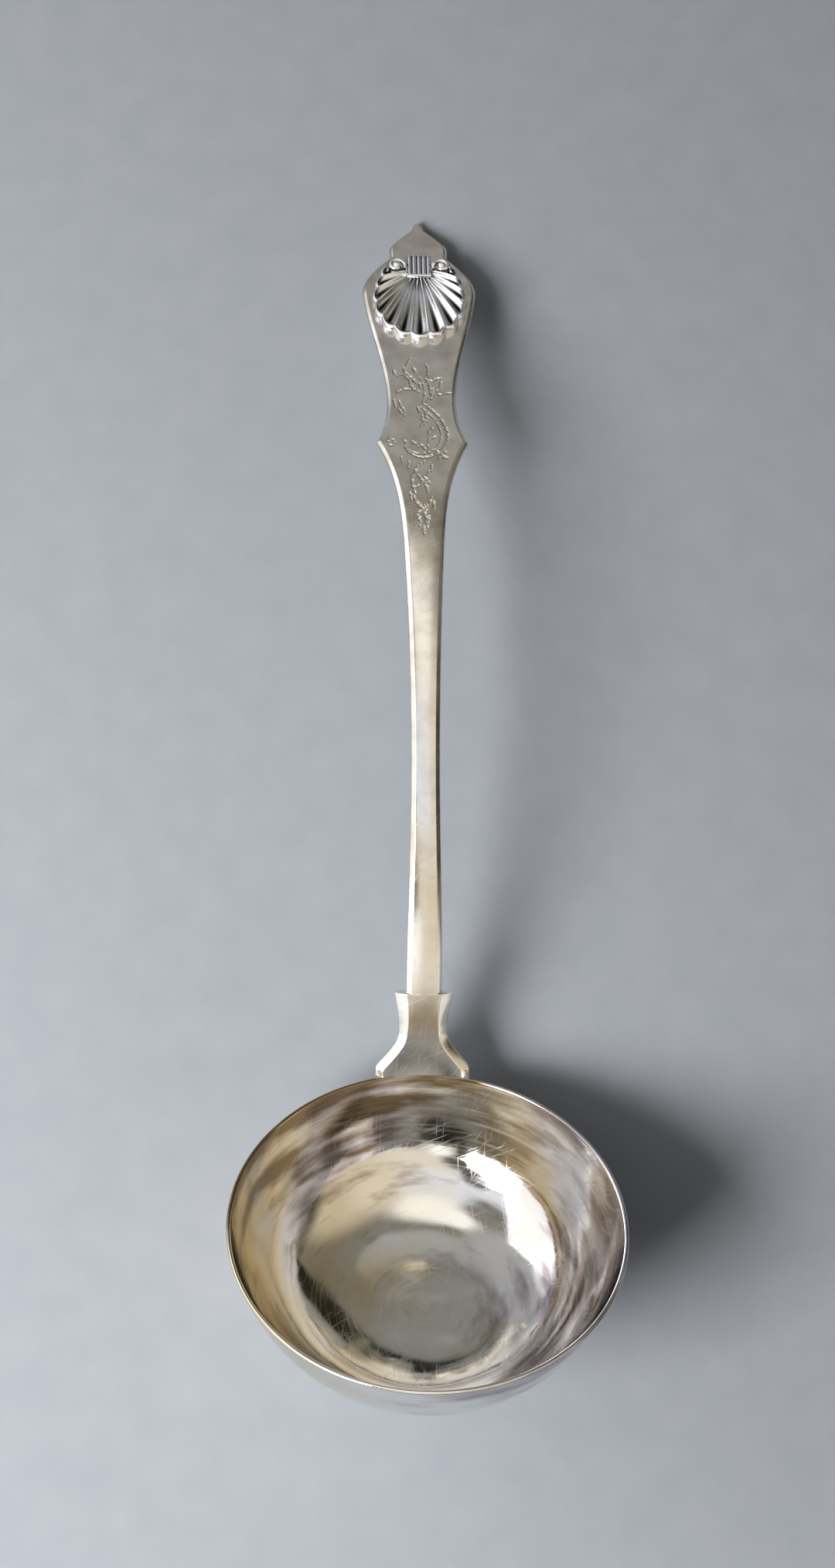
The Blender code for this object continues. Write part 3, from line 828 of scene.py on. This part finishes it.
def shell_scroll(side):
    """The drum, the wound wire and the bead of the scroll at one side of the hinge, 1 or -1."""
    aside = HINGE_HALF + SCROLL_RADIUS - SCROLL_OVERLAP
    centre = Vector((side * aside, HINGE_LENGTH / 2, 0.0))
    drum = bmesh.new()
    bmesh.ops.create_cone(
        drum,
        cap_ends=True,
        segments=DRUM_SIDES,
        radius1=SCROLL_RADIUS - DRUM_INSET,
        radius2=SCROLL_RADIUS - SCROLL_WIRE,
        depth=SCROLL_BASE,
        matrix=Matrix.Translation(centre + Vector((0.0, 0.0, SCROLL_BASE / 2))),
    )
    drum.verts.layers.float.new("polish_oxide_and_shade")
    wire = bmesh.new()
    shares = np.linspace(0, 1, WIRE_STEPS)
    bmesh.ops.create_grid(wire, x_segments=WIRE_SIDES, y_segments=WIRE_STEPS - 1, size=1.0)
    polish_oxide_and_shade = wire.verts.layers.float.new("polish_oxide_and_shade")
    wire.verts.index_update()
    for vert in wire.verts:
        row, column = divmod(vert.index, WIRE_SIDES + 1)
        share, turn = shares[row], 2 * math.pi * column / WIRE_SIDES
        angle = math.pi * (SCROLL_START - 2 * SCROLL_TURNS * share)
        radius = SCROLL_EYE + (SCROLL_RADIUS - SCROLL_WIRE - SCROLL_EYE) * (1 - share)
        thick = SCROLL_WIRE * (1 - WIRE_THINNING * share) * min(1.0, WIRE_TIP + WIRE_SWELL * share)
        radius += thick * math.cos(turn)
        vert.co = centre + Vector((
            side * radius * math.cos(angle),
            radius * math.sin(angle),
            SCROLL_BASE + thick * math.sin(turn),
        ))
        # the wire darkens towards its base on the drum: painted shade
        vert[polish_oxide_and_shade] = smooth_between(math.sin(turn), *WIRE_BASE_SHADE)
    bmesh.ops.remove_doubles(wire, verts=wire.verts, dist=WELD)
    bmesh.ops.holes_fill(wire, edges=[edge for edge in wire.edges if edge.is_boundary], sides=0)
    bead = bmesh.new()
    bmesh.ops.create_uvsphere(
        bead,
        u_segments=BEAD_SIDES,
        v_segments=BEAD_SIDES // 2,
        radius=SCROLL_EYE,
        matrix=Matrix.Translation(centre + Vector((0.0, 0.0, SCROLL_BASE))),
    )
    polish_oxide_and_shade = bead.verts.layers.float.new("polish_oxide_and_shade")
    for vert in bead.verts:
        # the bead darkens towards its base on the drum: painted shade
        vert[polish_oxide_and_shade] = smooth_between(vert.co.z - SCROLL_BASE, *BEAD_BASE_SHADE)
    return [loose("drum", drum), loose("wire", wire), loose("bead", bead)]


def cast_shell(material):
    """The shell with its hinge and scrolls, one casting, on the handle's flat end."""
    fan = shell_fan()
    joined = [shell_hinge(), *shell_scroll(1), *shell_scroll(-1)]
    # each point with its mark of oxide and painted shade, to lay on again after the union
    spots = [
        (vert.co.copy(), value.value)
        for part in [fan, *joined]
        for vert, value in zip(part.data.vertices, part.data.attributes["polish_oxide_and_shade"].data)
    ]
    polished = kdtree.KDTree(len(spots))
    for index, (spot, _) in enumerate(spots):
        polished.insert(spot, index)
    polished.balance()
    for other in joined:
        union = fan.modifiers.new("join_" + other.name, "BOOLEAN")
        union.operation = "UNION"
        union.object = other
    evaluated = fan.evaluated_get(bpy.context.evaluated_depsgraph_get())
    mesh = bpy.data.meshes.new_from_object(evaluated)
    body = bmesh.new()
    body.from_mesh(mesh)
    bpy.data.meshes.remove(mesh)
    for used in [fan, *joined]:
        bpy.data.objects.remove(used)
    # the union drops the oxide-and-shade mark of the parts joined to the fan, so it is laid on afresh
    polish_oxide_and_shade = body.verts.layers.float["polish_oxide_and_shade"]
    for vert in body.verts:
        vert[polish_oxide_and_shade] = spots[polished.find(vert.co)[1]][1]
    y, z = ARCH.at(FINIAL - HINGE_TO_FINIAL - HINGE_LENGTH)
    seat = Matrix.Translation((0.0, y, z)) @ Matrix.Rotation(END_ANGLE, 4, "X")
    bmesh.ops.transform(body, matrix=seat, verts=body.verts)
    piece_of("cast_shell", body, material, "shell", SHELL_CREASE)


# Materials


def linear(hex_colour):
    """An sRGB hex colour as the linear colour that a shader takes."""
    channels = [int(hex_colour[i : i + 2], 16) / 255 for i in (1, 3, 5)]
    return (*(c / 12.92 if c <= 0.04045 else ((c + 0.055) / 1.055) ** 2.4 for c in channels), 1.0)


def add(tree, kind, inputs=(), **settings):
    """Adds a node with its settings; inputs are set to a value or linked to an output."""
    node = tree.nodes.new(kind)
    for name, value in settings.items():
        setattr(node, name, value)
    for name, value in dict(inputs).items():
        if isinstance(value, bpy.types.NodeSocket):
            tree.links.new(value, node.inputs[name])
        else:
            node.inputs[name].default_value = value
    return node


# Marks of use on silver: their size, and between which heights of the noise each fades in
SCRATCH_WIDTH = 0.3 * MM
SCRATCH_LENGTH = 14.0 * MM
SCRATCH_DEPTH = 0.02 * MM
SCRATCH_TURNS = (0.4, 1.3, 2.3)
SCRATCH_FADE = (0.62, 0.72)
SCRATCH_RELIEF = 0.12
SCRATCH_DULLING = 0.14
STREAK_WIDTH = 0.9 * MM
STREAK_LENGTH = 30.0 * MM
STREAK_FADE = (0.48, 0.78)
FILM_STRETCH = 4.0
SMUDGE_SIZE = 9.0 * MM
SMUDGE_FADE = (0.35, 0.75)
PAPER_CLOUD = 12.0 * MM


def old_silver(name, clean, films, gloss, turned=None, mark=None):
    """Old silver, polished by hand for generations: a soft mirror, tinted where thin films of
    tarnish are left, hazed by smudges and crossed by fine scratches. The scratches are drawn
    coarser than real ones, which would be too fine to show.

    Each film is (colour, patch size, first and full cover, the way it grows by the metre), and gloss
    is the roughness of bright and of smudged metal. turned is the attribute along which rubbing left
    streaks and films round the wall, and mark is (attribute, colour, roughness) of the places where
    that attribute falls to 0: fresh metal in the handle's cuts, and on the shell a dark that is oxide
    in the hollows together with painted shade in the recesses and at the bases of the raised parts.
    On the bowl, a gold film laid towards one side is painted reflection as well as tarnish, and a
    brown film by the handle is painted shade.
    """
    material = bpy.data.materials.new(name)
    material.use_nodes = True
    tree = material.node_tree
    shader = tree.nodes["Principled BSDF"]
    place = add(tree, "ShaderNodeTexCoord").outputs["Object"]
    scratches = None
    for turn in SCRATCH_TURNS:
        grain = add(tree, "ShaderNodeMapping", {
            "Vector": place,
            "Rotation": (0.3 * turn, 0.5 * turn, turn),
            "Scale": (SCRATCH_LENGTH, SCRATCH_WIDTH, SCRATCH_LENGTH),
        }, vector_type="TEXTURE")
        streak = add(tree, "ShaderNodeTexNoise", {
            "Vector": grain.outputs[0], "Scale": 1.0, "Detail": 2.0,
        })
        line = add(tree, "ShaderNodeMapRange", {
            "Value": streak.outputs[0], "From Min": SCRATCH_FADE[0], "From Max": SCRATCH_FADE[1],
        })
        if scratches is None:
            scratches = line.outputs[0]
        else:
            both = add(tree, "ShaderNodeMath", {
                0: scratches, 1: line.outputs[0],
            }, operation="MAXIMUM")
            scratches = both.outputs[0]
    if turned:
        wall = add(tree, "ShaderNodeAttribute", attribute_name=turned)
        rubbed = add(tree, "ShaderNodeMapping", {
            "Vector": wall.outputs["Vector"],
            "Scale": (STREAK_LENGTH, STREAK_LENGTH, STREAK_WIDTH),
        }, vector_type="TEXTURE")
        streak = add(tree, "ShaderNodeTexNoise", {
            "Vector": rubbed.outputs[0], "Scale": 1.0, "Detail": 3.0,
        })
        line = add(tree, "ShaderNodeMapRange", {
            "Value": streak.outputs[0], "From Min": STREAK_FADE[0], "From Max": STREAK_FADE[1],
        })
        both = add(tree, "ShaderNodeMath", {
            0: scratches, 1: line.outputs[0],
        }, operation="MAXIMUM")
        scratches = both.outputs[0]
    smudge = add(tree, "ShaderNodeTexNoise", {
        "Vector": place, "Scale": 1 / SMUDGE_SIZE, "Detail": 5.0,
    })
    haze = add(tree, "ShaderNodeMapRange", {
        "Value": smudge.outputs[0],
        "From Min": SMUDGE_FADE[0], "From Max": SMUDGE_FADE[1],
        "To Min": gloss[0], "To Max": gloss[1],
    })
    rough = add(tree, "ShaderNodeMath", {
        0: scratches, 1: SCRATCH_DULLING, 2: haze.outputs[0],
    }, operation="MULTIPLY_ADD")
    colour_out, rough_out = linear(clean), rough.outputs[0]
    for film, size, (first, full), lean in films:
        wide = FILM_STRETCH * size if turned else size
        spread = add(tree, "ShaderNodeMapping", {
            "Vector": wall.outputs["Vector"] if turned else place,
            "Scale": (wide, wide, size),
        }, vector_type="TEXTURE")
        patch = add(tree, "ShaderNodeTexNoise", {
            "Vector": spread.outputs[0], "Scale": 1.0, "Detail": 5.0, "Roughness": 0.5,
        })
        growth = add(tree, "ShaderNodeVectorMath", {0: place, 1: lean}, operation="DOT_PRODUCT")
        cover = add(tree, "ShaderNodeMath", {0: patch.outputs[0], 1: growth.outputs["Value"]})
        share = add(tree, "ShaderNodeMapRange", {
            "Value": cover.outputs[0], "From Min": first, "From Max": full,
        })
        tinted = add(tree, "ShaderNodeMix", {
            "Factor": share.outputs[0], 6: colour_out, 7: linear(film),
        }, data_type="RGBA")
        colour_out = tinted.outputs[2]
    if mark:
        attribute, dark, dull = mark
        spot = add(tree, "ShaderNodeAttribute", attribute_name=attribute)
        marked = add(tree, "ShaderNodeMix", {
            "Factor": spot.outputs["Fac"], 6: linear(dark), 7: colour_out,
        }, data_type="RGBA")
        dulled = add(tree, "ShaderNodeMix", {
            "Factor": spot.outputs["Fac"], 2: dull, 3: rough_out,
        }, data_type="FLOAT")
        colour_out, rough_out = marked.outputs[2], dulled.outputs[0]
    relief = add(tree, "ShaderNodeBump", {
        "Strength": SCRATCH_RELIEF, "Distance": SCRATCH_DEPTH, "Height": scratches,
    }, invert=True)
    tree.links.new(colour_out, shader.inputs["Base Color"])
    tree.links.new(rough_out, shader.inputs["Roughness"])
    tree.links.new(relief.outputs[0], shader.inputs["Normal"])
    shader.inputs["Metallic"].default_value = 1.0
    return material


def paper(name):
    """Pale blue-grey paper, pressed flat: a dull even white with a faint cloudiness."""
    material = bpy.data.materials.new(name)
    material.use_nodes = True
    tree = material.node_tree
    shader = tree.nodes["Principled BSDF"]
    place = add(tree, "ShaderNodeTexCoord").outputs["Object"]
    cloud = add(tree, "ShaderNodeTexNoise", {
        "Vector": place, "Scale": 1 / PAPER_CLOUD, "Detail": 6.0,
    })
    colour = add(tree, "ShaderNodeMix", {
        "Factor": cloud.outputs[0], 6: linear("#b7bec9"), 7: linear("#c6ccd5"),
    }, data_type="RGBA")
    tree.links.new(colour.outputs[2], shader.inputs["Base Color"])
    shader.inputs["Roughness"].default_value = 0.9
    return material


# Studio


def toward(azimuth, elevation):
    """A direction: azimuth from +Y towards +X, elevation above the table, in degrees."""
    a, e = math.radians(azimuth), math.radians(elevation)
    return Vector((math.sin(a) * math.cos(e), math.cos(a) * math.cos(e), math.sin(e)))


# Soft walls of the studio, each laid over those before it: azimuth, elevation, radius of the full
# tone and of its fade, colour
WALLS = [
    # warm walls and a pale ceiling
    (100, 48, 24, 50, (0.66, 0.58, 0.44)),
    (180, 66, 36, 60, (0.82, 0.75, 0.63)),
    (0, 90, 8, 20, (0.86, 0.86, 0.90)),
    (178, 20, 13, 26, (0.30, 0.24, 0.16)),
    # a cool wall above the window, with dim gaps round it
    (-80, 58, 17, 29, (0.86, 0.88, 0.92)),
    (-142, 56, 6, 15, (0.10, 0.08, 0.06)),
    (-108, 57, 5, 13, (0.07, 0.06, 0.05)),
    (-45, 48, 8, 20, (0.24, 0.23, 0.20)),
    # a low dark wall at the right
    (85, 10, 9, 22, (0.06, 0.055, 0.04)),
    # grey walls that the handle's flat end mirrors
    (-28, 20, 16, 26, (0.42, 0.42, 0.42)),
    (16, 20, 14, 24, (0.23, 0.225, 0.21)),
    (3, 28, 7, 15, (0.40, 0.392, 0.38)),
    # bright panels for the stem, and low ones for the bevels
    (-2, 62, 4, 20, (1.08, 1.03, 0.92)),
    (-19, 51, 5, 11, (1.10, 1.06, 1.00)),
    (-164, 52, 4, 11, (1.15, 1.13, 1.08)),
    (-122, 8, 16, 26, (1.15, 1.15, 1.15)),
    (118, 6, 9, 18, (0.90, 0.87, 0.80)),
    (-50, 5, 10, 18, (1.15, 1.15, 1.15)),
    # a low dark wall on the far side
    (26, -40, 51, 54, (0.02, 0.02, 0.015)),
]
WALL_TONE = (0.22, 0.20, 0.16)
PAPER_SHARE = 0.045
BACKDROP = (0.50, 0.52, 0.56)
LAMP_COLOUR = (1.0, 0.99, 0.97)
LAMP_DISTANCE = 1.0
FLOOR_HALF = 1.0


def studio_walls():
    """The world: walls for the silver to mirror, dimmer on the paper, and a plain backdrop."""
    world = bpy.data.worlds.new("studio")
    bpy.context.scene.world = world
    world.use_nodes = True
    tree = world.node_tree
    sight = add(tree, "ShaderNodeTexCoord").outputs["Generated"]
    tone = (*WALL_TONE, 1.0)
    for azimuth, elevation, full, fade, colour in WALLS:
        facing = add(tree, "ShaderNodeVectorMath", {
            0: sight, 1: toward(azimuth, elevation),
        }, operation="DOT_PRODUCT")
        share = add(tree, "ShaderNodeMapRange", {
            "Value": facing.outputs["Value"],
            "From Min": math.cos(math.radians(fade)),
            "From Max": math.cos(math.radians(full)),
        }, interpolation_type="SMOOTHSTEP")
        mixed = add(tree, "ShaderNodeMix", {
            "Factor": share.outputs[0], 6: tone, 7: (*colour, 1.0),
        }, data_type="RGBA")
        tone = mixed.outputs[2]
    # Seen straight on, behind the table, the studio is one plain pale tone
    seen = add(tree, "ShaderNodeLightPath").outputs["Is Camera Ray"]
    plain = add(tree, "ShaderNodeMix", {
        "Factor": seen, 6: tone, 7: (*BACKDROP, 1.0),
    }, data_type="RGBA")
    background = tree.nodes["Background"]
    tree.links.new(plain.outputs[2], background.inputs["Color"])
    # The paper takes less of the walls' light than the silver mirrors, so the shadows stay deep
    bounced = add(tree, "ShaderNodeLightPath").outputs["Diffuse Depth"]
    dimmed = add(tree, "ShaderNodeMapRange", {
        "Value": bounced, "To Min": 1.0, "To Max": PAPER_SHARE,
    })
    tree.links.new(dimmed.outputs[0], background.inputs["Strength"])


def softbox(name, azimuth, elevation, wide, high, watts):
    """A soft rectangular light that faces the middle of the ladle."""
    light = bpy.data.lights.new(name, "AREA")
    light.shape = "RECTANGLE"
    light.size, light.size_y = wide, high
    light.energy = watts
    light.color = LAMP_COLOUR
    lamp = bpy.data.objects.new(name, light)
    lamp.location = toward(azimuth, elevation) * LAMP_DISTANCE
    lamp.rotation_euler = toward(azimuth, elevation).to_track_quat("Z", "Y").to_euler()
    bpy.context.scene.collection.objects.link(lamp)


def studio():
    """The walls, two softboxes, the paper on the table and the camera above it."""
    studio_walls()
    softbox("window_softbox", azimuth=-82, elevation=25, wide=1.35, high=0.77, watts=3.3)
    softbox("key_softbox", azimuth=-125, elevation=40, wide=0.45, high=0.45, watts=9.2)
    sheet = bmesh.new()
    bmesh.ops.create_grid(sheet, x_segments=8, y_segments=8, size=FLOOR_HALF)
    mesh = bpy.data.meshes.new("paper_floor")
    sheet.to_mesh(mesh)
    sheet.free()
    mesh.materials.append(paper("pale_paper"))
    floor = bpy.data.objects.new("paper_floor", mesh)
    bpy.context.scene.collection.objects.link(floor)
    view = bpy.data.cameras.new("view_from_above")
    view.angle = CAMERA_VIEW
    view.clip_start = 0.01
    camera = bpy.data.objects.new("view_from_above", view)
    camera.location = CAMERA_PLACE
    camera.rotation_euler = Euler(CAMERA_TURN, "XYZ")
    bpy.context.scene.collection.objects.link(camera)
    bpy.context.scene.camera = camera
    bpy.context.scene.view_settings.view_transform = "Standard"


studio()
raised_bowl(
    old_silver(
        "raised_polished_silver",
        "#f1efeb",
        [
            # a straw-gold film of tarnish, laid thicker towards -X, where it is also a painted warm
            # reflection
            ("#d9c9a3", 20.0 * MM, (0.50, 0.90), (-7.0, 0.0, 0.0)),
            ("#d2d2dc", 30.0 * MM, (0.60, 0.98), (9.0, 0.0, 0.0)),
            ("#9a8f94", 7.0 * MM, (0.88, 1.14), (5.0, -2.0, 0.0)),
            # a dark brown film towards the handle's side: painted shade on the bowl's wall by the
            # handle's foot
            ("#8f7c60", 6.0 * MM, (-0.42, -0.20), (-4.0, 8.0, 0.0)),
        ],
        (0.04, 0.12),
        turned="turned",
    )
)
forged_handle(
    old_silver(
        "forged_engraved_silver",
        "#efece7",
        [
            ("#dfd4bc", 22.0 * MM, (0.52, 0.80), (0.0, 0.0, 0.0)),
            ("#b3ada4", 6.0 * MM, (0.42, 1.12), (0.0, 2.0, 0.0)),
        ],
        (0.12, 0.22),
        mark=("uncut", "#f6f3ec", 0.22),
    )
)
cast_shell(
    old_silver(
        "cast_silver_oxide_and_painted_shade",
        "#eceef2",
        [("#dccfb4", 22.0 * MM, (0.58, 0.80), (0.0, 0.0, 0.0))],
        (0.14, 0.23),
        # dark where the mark falls to 0: oxide in the hollows and painted shade in the recesses
        mark=("polish_oxide_and_shade", "#1c1813", 0.42),
    )
)
